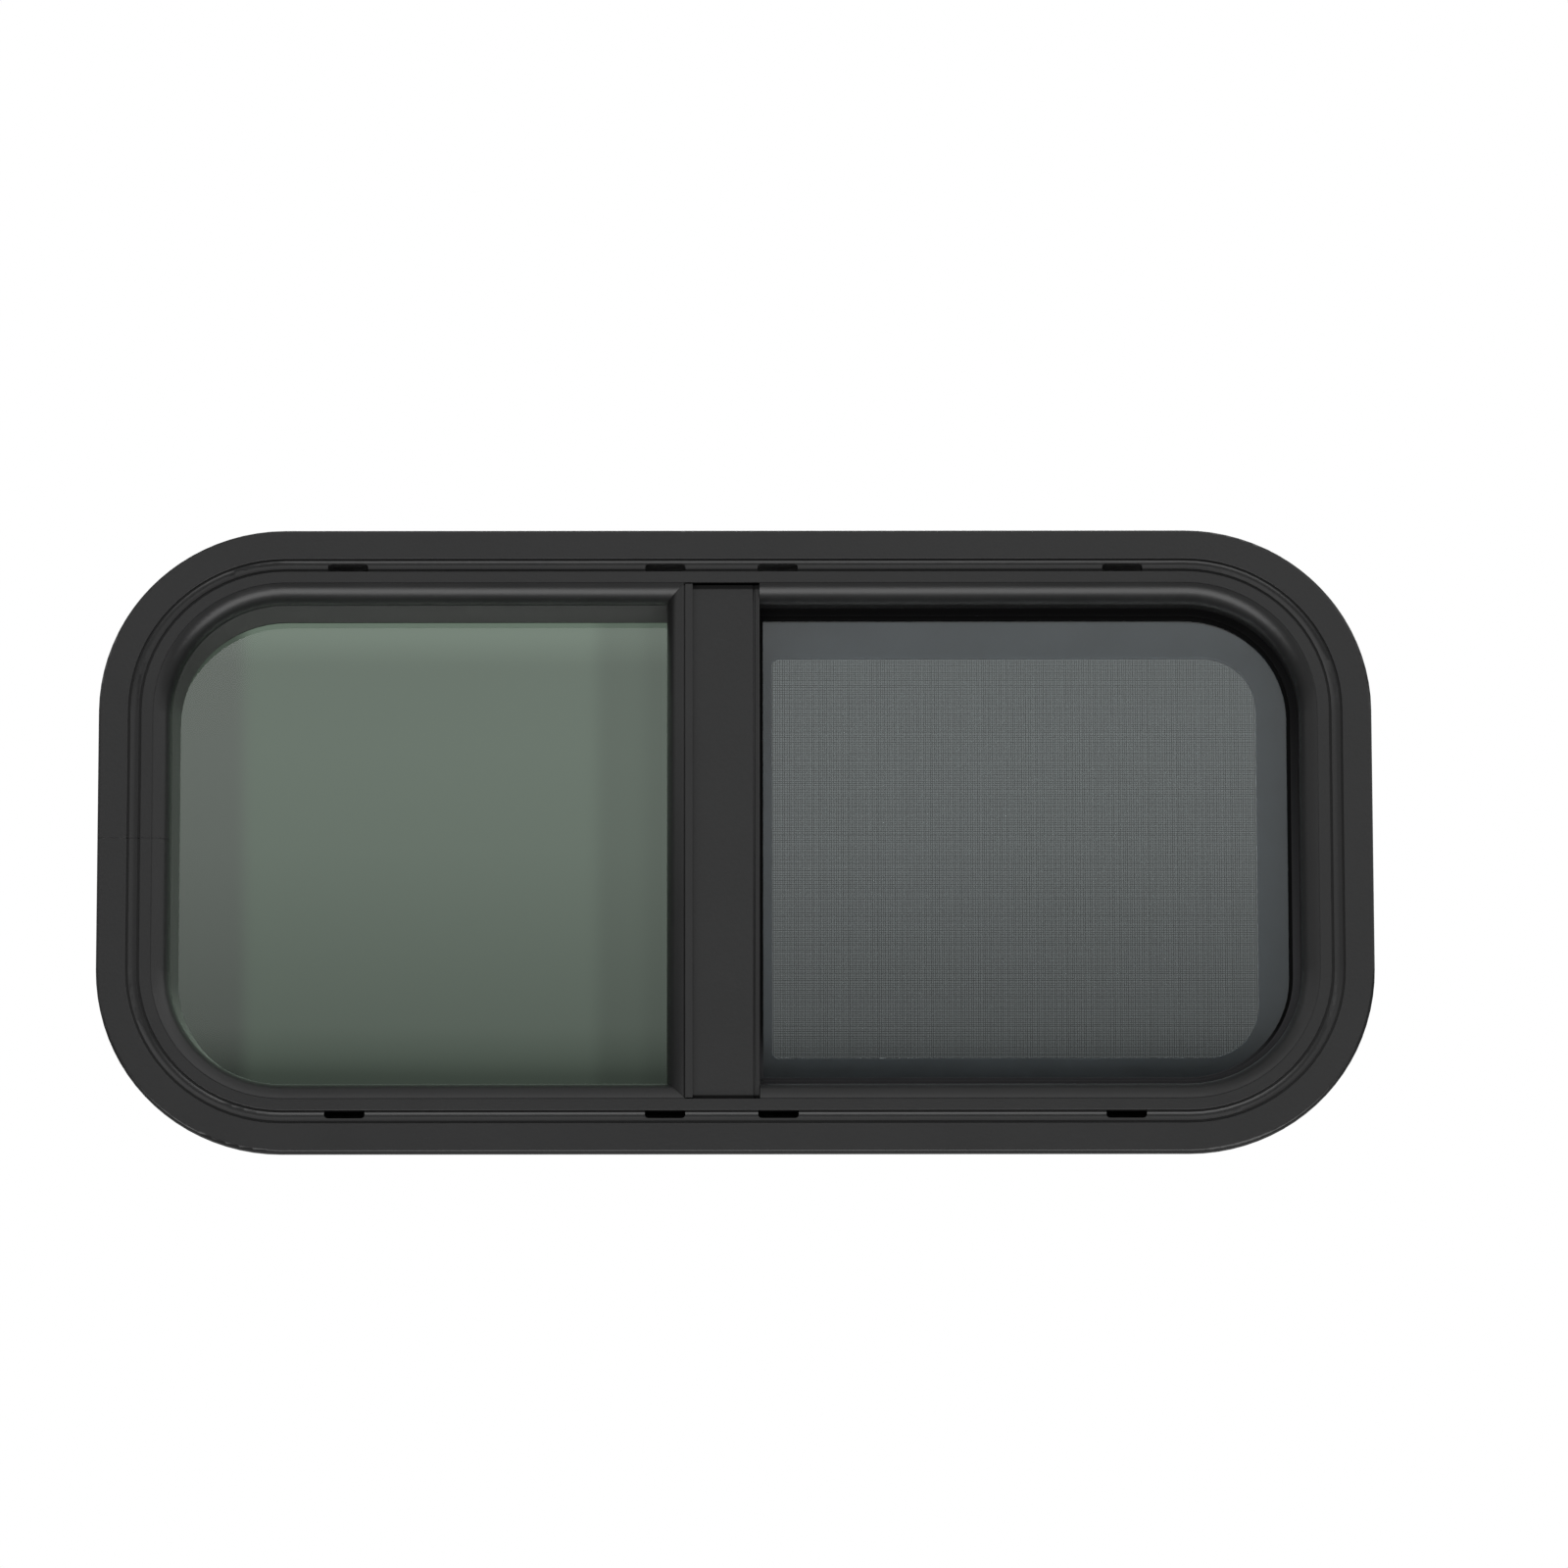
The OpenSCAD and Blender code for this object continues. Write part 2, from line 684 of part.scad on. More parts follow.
// Finger pulls on the screen frame's left stile
module screen_pulls() {
    pull_w = 9;
    pull_h = 2;
    pull_set = 3;
    dish_set = 1.5;
    dish_share = 0.62;
    x = screen_outer_x + pull_set;
    color([0.12, 0.12, 0.12]) stand() for (y = [-run_y, run_y]) difference() {
        block(x, x + pull_w, y - pull_l / 2, y + pull_l / 2,
            screen_back_d + seat, screen_back_d + pull_h);
        translate([x - dish_set, y, back(screen_back_d + pull_h + over)])
            cylinder(h = pull_h, d = pull_l * dish_share);
    }
}

outer_frame();
frame_joint_plate();
mullion();
mullion_bead();
mullion_seal();
fixed_glass();
glazing_rubber();
glazing_strip();
sliding_glass();
track_filler();
run_channel();
sash_stile();
sash_seal();
sash_glides();
latch_body();
latch_lever();
latch_keeper();
screen_frame();
screen_spline();
screen_mesh();
screen_pulls();
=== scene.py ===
import json
import math

import bmesh
import bpy
from mathutils import Matrix, Vector


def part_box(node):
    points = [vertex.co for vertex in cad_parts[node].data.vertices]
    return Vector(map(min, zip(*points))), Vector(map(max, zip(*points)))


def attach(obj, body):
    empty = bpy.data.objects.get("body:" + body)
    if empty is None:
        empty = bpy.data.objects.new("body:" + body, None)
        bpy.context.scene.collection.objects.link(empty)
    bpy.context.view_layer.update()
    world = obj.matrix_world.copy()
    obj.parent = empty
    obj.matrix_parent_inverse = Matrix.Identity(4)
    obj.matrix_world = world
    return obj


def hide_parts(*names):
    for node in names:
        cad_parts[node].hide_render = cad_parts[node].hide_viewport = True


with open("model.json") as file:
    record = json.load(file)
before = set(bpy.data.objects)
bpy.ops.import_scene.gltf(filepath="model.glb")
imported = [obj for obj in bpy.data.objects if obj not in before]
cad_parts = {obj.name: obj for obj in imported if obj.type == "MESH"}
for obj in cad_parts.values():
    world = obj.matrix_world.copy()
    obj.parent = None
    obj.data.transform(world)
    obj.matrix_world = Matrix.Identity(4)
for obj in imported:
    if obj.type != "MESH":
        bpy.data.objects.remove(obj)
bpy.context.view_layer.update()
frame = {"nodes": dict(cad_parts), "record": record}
cadNodes = frame["nodes"]
print("frame loaded with", len(cadNodes), "nodes")

mm = 0.001  # shapes are made in millimetres and scaled last


def corners(node):
    # a solid's lowest and highest corner, in millimetres
    low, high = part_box(node)
    return low / mm, high / mm


frameLow, frameHigh = corners("outer_frame")
outline = {"cornerRadius": 87.5, "halfWidth": (frameHigh.x - frameLow.x) / 2,
           "halfHeight": (frameHigh.z - frameLow.z) / 2, "midZ": (frameHigh.z + frameLow.z) / 2}
outline["runX"] = outline["halfWidth"] - outline["cornerRadius"]
outline["runZ"] = outline["halfHeight"] - outline["cornerRadius"]


class Sock:
    # wraps a socket, so that sums on it add their own nodes
    def __init__(self, tree, socket=None):
        self.tree = tree
        self.socket = socket

    def node(self, kind, settings=None, inputs=None, out=0):
        # adds a node with its settings and the values or links of its sockets, and gives one output
        made = self.tree.nodes.new(kind)
        for name, value in (settings or {}).items():
            if name == "stops":
                ramp = made.color_ramp
                while len(ramp.elements) < len(value):
                    ramp.elements.new(0.5)
                for element, (place, level) in zip(ramp.elements, value):
                    element.position = place
                    element.color = (level, level, level, 1)
            else:
                setattr(made, name, value)
        for name, value in (inputs or {}).items():
            target = made.inputs[name]
            if isinstance(value, Sock):
                self.tree.links.new(value.socket, target)
            else:
                target.default_value = value
        return Sock(self.tree, made.outputs[out] if len(made.outputs) else None)

    def maths(self, operation, first, second=0.0):
        return self.node("ShaderNodeMath", {"operation": operation}, {0: first, 1: second})

    def __add__(self, other):
        return self.maths("ADD", self, other)

    def __radd__(self, other):
        return self.maths("ADD", other, self)

    def __sub__(self, other):
        return self.maths("SUBTRACT", self, other)

    def __rsub__(self, other):
        return self.maths("SUBTRACT", other, self)

    def __mul__(self, other):
        return self.maths("MULTIPLY", self, other)

    def __rmul__(self, other):
        return self.maths("MULTIPLY", other, self)

    def smooth(self, low, high, first=0.0, last=1.0):
        return self.node("ShaderNodeMapRange", {"interpolation_type": "SMOOTHSTEP"},
                         {"Value": self, "From Min": low, "From Max": high, "To Min": first, "To Max": last})

    def within(self, start, full, fade, end):
        # rises from 0 to 1 between start and full, and falls again between fade and end
        return self.smooth(start, full) * self.smooth(fade, end, 1.0, 0.0)

    def coordinate(self, where, axis):
        return self.node("ShaderNodeSeparateXYZ", {}, {0: where}, out=axis)

    def noise(self, where, scale, detail=2.0, rough=0.5):
        return self.node("ShaderNodeTexNoise", {},
                         {"Vector": where, "Scale": scale, "Detail": detail, "Roughness": rough})

    def blend(self, factor, first, second, kind="MIX"):
        # sockets 6 and 7 of a Mix node are its two colours, and output 2 is the mixed one
        return self.node("ShaderNodeMix", {"data_type": "RGBA", "blend_type": kind},
                         {0: factor, 6: first, 7: second}, out=2)

    def stretch(self, where, factors):
        return self.node("ShaderNodeMapping", {}, {"Vector": where, "Scale": factors})

    def bump(self, height, distance, strength=1.0, normal=None):
        sockets = {"Strength": strength, "Distance": distance, "Height": height}
        if normal is not None:
            sockets["Normal"] = normal
        return self.node("ShaderNodeBump", {}, sockets)


finishes = {}


def newFinish(name):
    material = bpy.data.materials.new(name)
    material.use_nodes = True
    material.node_tree.nodes.clear()
    finishes[name] = material
    kit = Sock(material.node_tree)
    return kit, kit.node("ShaderNodeTexCoord", out="Object")


def closeFinish(kit, sockets):
    shader = kit.node("ShaderNodeBsdfPrincipled", {}, sockets)
    kit.node("ShaderNodeOutputMaterial", {}, {"Surface": shader})


def tinted(colour, factor):
    return (*(Vector(colour) * factor), 1)


# satin coats: a faint orange peel, a finer grain in it and a few brighter flecks; bumps are in metres
coat = {"cloudTones": (0.94, 1.06), "cloudEdge": (0.35, 0.65), "grainScale": 3600, "grainSpread": 0.06,
        "fleckScale": 1500, "fleckEdge": (0.66, 0.74), "fleckTone": 1.9}
powderCoat = {**coat, "colour": (0.0112, 0.0113, 0.0115), "roughness": 0.345, "spread": 0.06,
              "peel": 0.00005, "peelScale": 640, "grain": 0.000012, "flecks": 0.25, "cloudScale": 22,
              "grooved": True}
screenPaint = {**coat, "colour": (0.345, 0.345, 0.385), "roughness": 0.42, "spread": 0.08,
               "peel": 0.00002, "peelScale": 900, "grain": 0.00001, "flecks": 0.1, "cloudScale": 30}
# painted shade: the flange's grooves are darkened and made matt, and the closed hollow behind the weep slots
# is painted black as shade;
# the places are insets from the flange's edge, and depths, in metres
grooves = {"grooveShadeInset": (0.0136, 0.0139, 0.021, 0.0213), "grooveShadeDepth": (-0.00575, -0.0051),
           "grooveShade": 0.9, "grooveShadeTone": 0.15, "grooveShadeRoughness": 0.6,
           "hollowInset": (0.0162, 0.0166, 0.0275, 0.0285), "hollowDepth": (-0.0038, -0.0033, 0.028, 0.032),
           "hollowShadeColour": (0.0008, 0.0008, 0.0008, 1)}


def insetAndDepth(kit, place):
    # how far a point lies in from the flange's rounded edge, and its depth, in metres
    side, depth, height = [kit.coordinate(place, axis) for axis in "XYZ"]
    side = kit.maths("ABSOLUTE", side) - outline["runX"] * mm
    tall = kit.maths("ABSOLUTE", height - outline["midZ"] * mm) - outline["runZ"] * mm
    sideSquare = kit.maths("POWER", kit.maths("MAXIMUM", side, 0.0), 2.0)
    tallSquare = kit.maths("POWER", kit.maths("MAXIMUM", tall, 0.0), 2.0)
    straight = kit.maths("MINIMUM", kit.maths("MAXIMUM", side, tall), 0.0)
    return outline["cornerRadius"] * mm - kit.maths("SQRT", sideSquare + tallSquare) - straight, depth


def makeCoat(name, values):
    kit, place = newFinish(name)
    peel = kit.noise(place, values["peelScale"], 2.0, 0.45)
    grain = kit.noise(place, values["grainScale"], 1.0, 0.5)
    cloud = kit.noise(place, values["cloudScale"], 3.0, 0.55)
    fleck = kit.noise(place, values["fleckScale"], 1.0, 0.4).smooth(*values["fleckEdge"])
    base = values["colour"]
    dark, light = [tinted(base, tone) for tone in values["cloudTones"]]
    colour = kit.blend(cloud.smooth(*values["cloudEdge"]), dark, light)
    colour = kit.blend(fleck * values["flecks"], colour, tinted(base, values["fleckTone"]))
    rough = values["roughness"] + (cloud - 0.5) * values["spread"] + (grain - 0.5) * values["grainSpread"]
    if values.get("grooved"):
        inset, depth = insetAndDepth(kit, place)
        # painted shade: the grooves are darkened towards a dark tone, and the hollow behind the weep slots
        # is painted black
        grooveShade = inset.within(*grooves["grooveShadeInset"]) * depth.smooth(*grooves["grooveShadeDepth"])
        hollow = inset.within(*grooves["hollowInset"]) * depth.within(*grooves["hollowDepth"])
        colour = kit.blend(grooveShade * grooves["grooveShade"], colour, tinted(base, grooves["grooveShadeTone"]))
        colour = kit.blend(hollow, colour, grooves["hollowShadeColour"])
        matt = kit.maths("MAXIMUM", hollow, grooveShade * grooves["grooveShadeRoughness"])
        rough = kit.maths("MAXIMUM", rough, matt)
    shape = kit.bump(peel, values["peel"], 0.55)
    closeFinish(kit, {"Base Color": colour, "Roughness": rough, "IOR": 1.5,
                      "Normal": kit.bump(grain, values["grain"], 0.4, shape)})


# moulded and woven finishes; a painted light and shade by height colours what lies below its top, a height
# in metres
# the rubbers are painted black on the top run, which stands in shade, and painted lighter on the lower runs,
# as painted light
rubber = {"colour": (0.0012, 0.0012, 0.0013), "heightShade": (0.042, 0.042, 0.045), "heightShadeTop": 0.07,
          "roughness": 0.88, "specular": 0.1, "grain": 0.00002, "grainScale": 2600, "spread": 0.16}
stripRubber = {**rubber, "heightShade": (0.04, 0.04, 0.042), "heightShadeTop": 0.28}
filler = {"colour": (0.0445, 0.0435, 0.0435), "roughness": 0.5, "grain": 0.00001, "grainScale": 2400,
          "spread": 0.1}
pile = {"colour": (0.012, 0.012, 0.012), "roughness": 0.95, "grain": 0.0003, "grainScale": 1600,
        "spread": 0.05}
nylon = {"colour": (0.62, 0.61, 0.57), "roughness": 0.42, "grain": 0.00002, "grainScale": 1500,
         "spread": 0.12}
moulded = {"colour": (0.022, 0.022, 0.0225), "roughness": 0.5, "grain": 0.00004, "grainScale": 1500,
           "spread": 0.1}
groundEdge = {"colour": (0.05, 0.075, 0.06), "roughness": 0.6, "grain": 0.00004, "grainScale": 2500,
              "spread": 0.2}
# upright threads lie in front of the cloth's middle depth, threadY, and the others behind it
# the cloth is painted darker towards its bottom, a painted shade by height
clothYarn = {"colour": (0.305, 0.32, 0.305), "heightShade": (0.08, 0.086, 0.08), "heightShadeTop": 0.25,
             "threadY": sum(corner.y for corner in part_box("screen_mesh")) / 2, "threadBlur": 0.00003,
             "threadAlong": 25, "threadAcross": 1300, "threadEdge": (0.36, 0.64), "threadTones": (0.78, 1.2),
             "roughness": 0.55, "grain": 0.00002, "grainScale": 5000, "spread": 0.1}
mottle = {"scale": 60.0, "tones": (0.82, 1.2), "heightShadeFull": 0.04, "heightShadeWaver": 0.01}


def paintedHeightShade(kit, place, colour, cloud, values):
    # painted light and shade by height, full on the lowest run and fading upwards
    height = kit.coordinate(place, "Z") + cloud * mottle["heightShadeWaver"]
    heightShade = height.smooth(mottle["heightShadeFull"], values["heightShadeTop"], 1.0, 0.0)
    return kit.blend(heightShade, colour, (*values["heightShade"], 1))


def threaded(kit, place, colour, values):
    # every thread has a tone of its own, which changes slowly along it
    along, over = values["threadAlong"], values["threadAcross"]
    middle, blur = values["threadY"], values["threadBlur"]
    across = kit.noise(kit.stretch(place, (along, 1, over)), 1.0, 1.0, 0.5)
    upright = kit.noise(kit.stretch(place, (over, 1, along)), 1.0, 1.0, 0.5)
    side = kit.coordinate(place, "Y").smooth(middle - blur, middle + blur)
    tone = (upright * (1.0 - side) + across * side).smooth(*values["threadEdge"])
    dark, light = [(level, level, level, 1) for level in values["threadTones"]]
    return kit.blend(1.0, colour, kit.blend(tone, dark, light), "MULTIPLY")


def makeMoulded(name, values):
    kit, place = newFinish(name)
    grain = kit.noise(place, values["grainScale"], 2.0, 0.6)
    cloud = kit.noise(place, mottle["scale"], 3.0, 0.6)
    dark, light = [tinted(values["colour"], tone) for tone in mottle["tones"]]
    colour = kit.blend(cloud, dark, light)
    if "heightShade" in values:
        colour = paintedHeightShade(kit, place, colour, cloud, values)
    if "threadY" in values:
        colour = threaded(kit, place, colour, values)
    closeFinish(kit, {
        "Base Color": colour, "Roughness": values["roughness"] + (cloud - 0.5) * values["spread"],
        "Specular IOR Level": values.get("specular", 0.5), "Normal": kit.bump(grain, values["grain"], 0.5)})


# tempered glass, which bends a reflection a little
glass = {"colour": (0.272, 0.36, 0.284), "wave": 0.00002, "waveScale": 9.0}
greyGlass = {**glass, "colour": (0.291, 0.327, 0.329)}


def makeGlass(name, values):
    kit, place = newFinish(name)
    wave = kit.noise(place, values["waveScale"], 1.0, 0.3)
    pane = kit.node("ShaderNodeBsdfPrincipled", {}, {
        "Base Color": (*values["colour"], 1), "Roughness": 0.0, "IOR": 1.5, "Transmission Weight": 1.0,
        "Normal": kit.bump(wave, values["wave"], 0.5)})
    through = tuple(math.sqrt(level) for level in values["colour"])  # light crosses two faces
    clear = kit.node("ShaderNodeBsdfTransparent", {}, {"Color": (*through, 1)})
    shadow = kit.node("ShaderNodeLightPath", out="Is Shadow Ray")
    mixed = kit.node("ShaderNodeMixShader", {}, {0: shadow, 1: pane, 2: clear})
    kit.node("ShaderNodeOutputMaterial", {}, {"Surface": mixed})


zinc = {"colour": (0.56, 0.56, 0.57), "roughness": 0.3, "spread": 0.2, "cloudScale": 300,
        "tones": (0.85, 1.1), "grain": 0.00001, "grainScale": 1800}


def makePlated(name, values):
    kit, place = newFinish(name)
    cloud = kit.noise(place, values["cloudScale"], 3.0, 0.6)
    dark, light = [tinted(values["colour"], tone) for tone in values["tones"]]
    closeFinish(kit, {"Base Color": kit.blend(cloud, dark, light), "Metallic": 1.0,
                      "Roughness": values["roughness"] + (cloud - 0.5) * values["spread"],
                      "Normal": kit.bump(kit.noise(place, values["grainScale"]), values["grain"], 0.4)})


makeCoat("satinPowderCoat", powderCoat)
makeCoat("screenFramePaint", screenPaint)
makeMoulded("blackRubber", rubber)
makeMoulded("stripRubber", stripRubber)
makeMoulded("greyFiller", filler)
makeMoulded("darkPile", pile)
makeMoulded("whiteNylon", nylon)
makeMoulded("latchPlastic", moulded)
makeMoulded("screenYarn", clothYarn)
makeMoulded("groundEdge", groundEdge)
makePlated("zincPlate", zinc)
makeGlass("tintedGlass", glass)
makeGlass("greyTintedGlass", greyGlass)
print("finishes made:", len(finishes))

slotFinish = {
    "frame_black": "satinPowderCoat", "mill_steel": "zincPlate", "black_rubber": "blackRubber",
    "tinted_glass": "tintedGlass", "grey_filler": "greyFiller", "pile": "darkPile",
    "nylon": "whiteNylon", "latch_plastic": "latchPlastic", "screen_paint": "screenFramePaint",
    "screen_cloth": "screenYarn",
}
nodeSlot = {part["node"]: part["material_slot"] for part in frame["record"]["subparts"]}
for name, piece in cadNodes.items():
    piece.data.materials.clear()
    piece.data.materials.append(finishes[slotFinish[nodeSlot[name]]])


def only(parts, kind):
    # the vertices or the edges among the parts of a shape
    return [part for part in parts if isinstance(part, kind)]


def roundedFace(shape, points, radii, segments):
    # a face through a few corner points, each rounded by its own radius
    made = [shape.verts.new(point) for point in points]
    shape.faces.new(made)
    for radius in sorted(set(radii) - {0}):
        chosen = [vert for vert, own in zip(made, radii) if own == radius]
        bmesh.ops.bevel(shape, geom=chosen, offset=radius, offset_type="OFFSET", segments=segments,
                        profile=0.5, affect="VERTICES", material=-1)
    shape.faces.ensure_lookup_table()
    return shape.faces[-1]


sweep = {"cornerSteps": 20, "roundSegments": 3}


def sweepAround(section):
    # sweeps a section of (inset, depth, radius) corners once around the rounded outline
    shape = bmesh.new()
    start = outline["halfWidth"]
    points = [(start - inset, y, outline["midZ"] + outline["runZ"]) for inset, y, radius in section]
    face = roundedFace(shape, points, [radius for inset, y, radius in section], sweep["roundSegments"])
    edges = list(face.edges)
    bmesh.ops.delete(shape, geom=[face], context="FACES_ONLY")
    runX, runZ = outline["runX"], outline["runZ"]
    turns = [(runX, runZ, -2 * runX, 0), (-runX, runZ, 0, -2 * runZ),
             (-runX, -runZ, 2 * runX, 0), (runX, -runZ, 0, 2 * runZ)]
    for x, z, moveX, moveZ in turns:  # a corner's middle, and the straight run after that corner
        verts = list({vert for edge in edges for vert in edge.verts})
        spun = bmesh.ops.spin(shape, geom=verts + edges, cent=(x, 0, outline["midZ"] + z), axis=(0, -1, 0),
                              angle=math.pi / 2, steps=sweep["cornerSteps"], use_duplicate=False)
        edges = only(spun["geom_last"], bmesh.types.BMEdge)
        grown = bmesh.ops.extrude_edge_only(shape, edges=edges)["geom"]
        moved = only(grown, bmesh.types.BMVert)
        bmesh.ops.translate(shape, verts=moved, vec=(moveX, 0, moveZ))
        moved = set(moved)
        edges = [edge for edge in only(grown, bmesh.types.BMEdge) if set(edge.verts) <= moved]
    bmesh.ops.remove_doubles(shape, verts=shape.verts, dist=0.001)
    bmesh.ops.recalc_face_normals(shape, faces=shape.faces)
    return shape


def cutAcross(shape, place, normal):
    # cuts away what lies in front of a plane, and closes the cut
    cut = bmesh.ops.bisect_plane(shape, geom=shape.verts[:] + shape.edges[:] + shape.faces[:], dist=0.001,
                                 plane_co=place, plane_no=normal, clear_outer=True)
    bmesh.ops.holes_fill(shape, edges=only(cut["geom_cut"], bmesh.types.BMEdge), sides=0)
    bmesh.ops.recalc_face_normals(shape, faces=shape.faces)


def outlineLoop(shape, low, high, radii, y, segments):
    # the corners of a rounded rectangle at one depth, in order from the lower end of its right side;
    # radii go left bottom, right bottom, right top, left top
    points = [(low[0], y, low[1]), (high[0], y, low[1]), (high[0], y, high[1]), (low[0], y, high[1])]
    face = roundedFace(shape, points, radii, segments)
    ring = [loop.vert for loop in face.loops]
    bmesh.ops.delete(shape, geom=[face], context="FACES_ONLY")
    start = max(range(len(ring)), key=lambda index: (round(ring[index].co.x, 3), -ring[index].co.z))
    return ring[start:] + ring[:start]


def bridgeStations(shape, stations, closed):
    # joins each ring of corners to the next, and the last to the first on a closed section
    pairs = list(zip(stations, stations[1:]))
    if closed:
        pairs.append((stations[-1], stations[0]))
    for first, second in pairs:
        for four in zip(first, first[1:] + first[:1], second[1:] + second[:1], second):
            shape.faces.new(four)
    if not closed:
        shape.faces.new(stations[0])
        shape.faces.new(stations[-1])
    bmesh.ops.recalc_face_normals(shape, faces=shape.faces)


merging = {"doubles": 0.004, "flatAngle": 1, "sharpAngle": 40}  # a distance, and angles in degrees


def softCopy(node, radius, segments=2):
    # a merged copy of a solid's mesh with its sharp edges rounded
    shape = bmesh.new()
    shape.from_mesh(cadNodes[node].data)
    bmesh.ops.scale(shape, verts=shape.verts, vec=(1 / mm, 1 / mm, 1 / mm))
    bmesh.ops.remove_doubles(shape, verts=shape.verts, dist=merging["doubles"])
    bmesh.ops.dissolve_limit(shape, angle_limit=math.radians(merging["flatAngle"]), verts=shape.verts,
                             edges=shape.edges)
    sharp = [edge for edge in shape.edges if edge.calc_face_angle(0) > math.radians(merging["sharpAngle"])]
    bmesh.ops.bevel(shape, geom=sharp, offset=radius, offset_type="OFFSET", segments=segments,
                    profile=0.5, affect="EDGES", clamp_overlap=True, material=-1)
    return shape


shading = {"wideFace": 1.5, "besideWide": 8}  # a face's width, and an edge's angle in degrees


def shadeEdges(shape, sharp):
    # shades bends softly, but keeps wide faces flat beside their rounded edges
    widths = {}
    for face in shape.faces:
        face.smooth = True
        widths[face] = face.calc_area() / max(edge.calc_length() for edge in face.edges)
    for edge in shape.edges:
        widest = max((widths[face] for face in edge.link_faces), default=0)
        limit = shading["besideWide"] if widest > shading["wideFace"] else sharp
        edge.smooth = edge.calc_face_angle(0) < math.radians(limit)


def finishPiece(name, shape, *nodes, finish=None, sharp=35):
    # scales a shape to metres and makes it the piece that stands for its nodes
    shadeEdges(shape, sharp)
    bmesh.ops.scale(shape, verts=shape.verts, vec=(mm, mm, mm))
    mesh = bpy.data.meshes.new(name)
    shape.to_mesh(mesh)
    shape.free()
    piece = bpy.data.objects.new(name, mesh)
    bpy.context.scene.collection.objects.link(piece)
    mesh.materials.append(finishes[finish or slotFinish[nodeSlot[nodes[0]]]])
    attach(piece, "root")
    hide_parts(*nodes)
    print(name, "has", len(mesh.polygons), "faces")
    return piece


# panes: flat glass, square at the mullion, with edges that are ground matt
paneShape = {"chamfer": 0.5, "square": 0.6, "segments": 20}


def makePane(name, node, roundSide, finish):
    low, high = corners(node)
    flat, square = paneShape["chamfer"], paneShape["square"]
    radius = outline["cornerRadius"] - (frameHigh.z - high.z)
    shape = bmesh.new()
    stations = []
    for shrink, y in ((flat, low.y), (0, low.y + flat), (0, high.y - flat), (flat, high.y)):
        arc = radius - shrink
        radii = [square, arc, arc, square] if roundSide > 0 else [arc, square, square, arc]
        lower, upper = (low.x + shrink, low.z + shrink), (high.x - shrink, high.z - shrink)
        stations.append(outlineLoop(shape, lower, upper, radii, y, paneShape["segments"]))
    bridgeStations(shape, stations, closed=False)
    piece = finishPiece(name, shape, node, finish=finish)
    piece.data.materials.append(finishes["groundEdge"])
    largest = max(face.area for face in piece.data.polygons)
    for face in piece.data.polygons:
        face.material_index = 0 if face.area > largest / 2 else 1


makePane("fixedPane", "fixed_glass", 1, "greyTintedGlass")
makePane("slidingPane", "sliding_glass", -1, "tintedGlass")
print("panes made")

# rubber and strips that follow the rounded outline; a section's corners are (inset, depth, radius)
# the reveal and the track ribs' tops are insets from the flange's edge, and the flange is its depth
profile = {"reveal": 34.1, "ribTop": 35.7, "flange": 6.0}
reveal, ribTop = profile["reveal"], profile["ribTop"]

glazingRubber = {"web": 2.0, "frontLeg": 1.8, "nose": 5.3, "noseSlope": 0.25, "paneGap": 0.1}
low, high = corners("glazing_rubber")
edge = frameHigh.z - high.z
nose = reveal + glazingRubber["nose"]
web = edge + glazingRubber["web"]
frontLeg = low.y + glazingRubber["frontLeg"]
backLeg = corners("fixed_glass")[1].y + glazingRubber["paneGap"]
section = [(edge, low.y, 0.2), (nose, low.y + glazingRubber["noseSlope"], 0.6), (nose, frontLeg, 0.5),
           (web, frontLeg, 0.1), (web, backLeg, 0.1), (ribTop, backLeg, 0.3), (ribTop, high.y, 0.5),
           (edge, high.y, 0.2)]
shape = sweepAround(section)
cutAcross(shape, (low.x, 0, 0), (-1, 0, 0))
finishPiece("glazingRubber", shape, "glazing_rubber")

glazingStrip = {"lip": 3.6, "round": 0.55}
low, high = corners("glazing_strip")
edge = frameHigh.z - high.z
lip = reveal + glazingStrip["lip"]
section = [(edge, low.y, 0.2), (lip, low.y, glazingStrip["round"]), (lip, high.y, glazingStrip["round"]),
           (edge, high.y, 0.2)]
shape = sweepAround(section)
cutAcross(shape, (low.x, 0, 0), (-1, 0, 0))
finishPiece("glazingStrip", shape, "glazing_strip", finish="stripRubber")

# depths of the filler's foot and back are measured from the flange's face
trackFiller = {"nose": 3.3, "gap": 0.1, "footFront": 16.6, "footBack": 18.0, "backFace": 26.0}
low, high = corners("track_filler")
edge = frameHigh.z - high.z
near, far = reveal + trackFiller["gap"], ribTop + trackFiller["gap"]
depths = [trackFiller[part] - profile["flange"] for part in ("footFront", "footBack", "backFace")]
footFront, footBack, backFace = depths
section = [(near, low.y, 0.3), (reveal + trackFiller["nose"], high.y, 0.5), (far, high.y, 0.2),
           (far, backFace, 0.2), (near, footBack, 0.1), (edge, footBack, 0.2), (edge, footFront, 0.2),
           (near, footFront, 0.1)]
shape = sweepAround(section)
cutAcross(shape, (high.x, 0, 0), (1, 0, 0))
finishPiece("trackFiller", shape, "track_filler")

runChannel = {"base": 0.8, "lower": 0.2, "running": 0.3, "round": 1.2}
low, high = corners("run_channel")
edge = frameHigh.z - high.z
paneLow, paneHigh = corners("sliding_glass")
top, base = ribTop - runChannel["lower"], edge + runChannel["base"]
front, back = paneLow.y - runChannel["running"], paneHigh.y + runChannel["running"]
pileRound = runChannel["round"]
section = [(edge, low.y, 0.2), (top, low.y, pileRound), (top, front, pileRound), (base, front, 0.1),
           (base, back, 0.1), (top, back, pileRound), (top, high.y, pileRound), (edge, high.y, 0.2)]
finishPiece("runChannel", sweepAround(section), "run_channel")
print("rubbers and strips made")


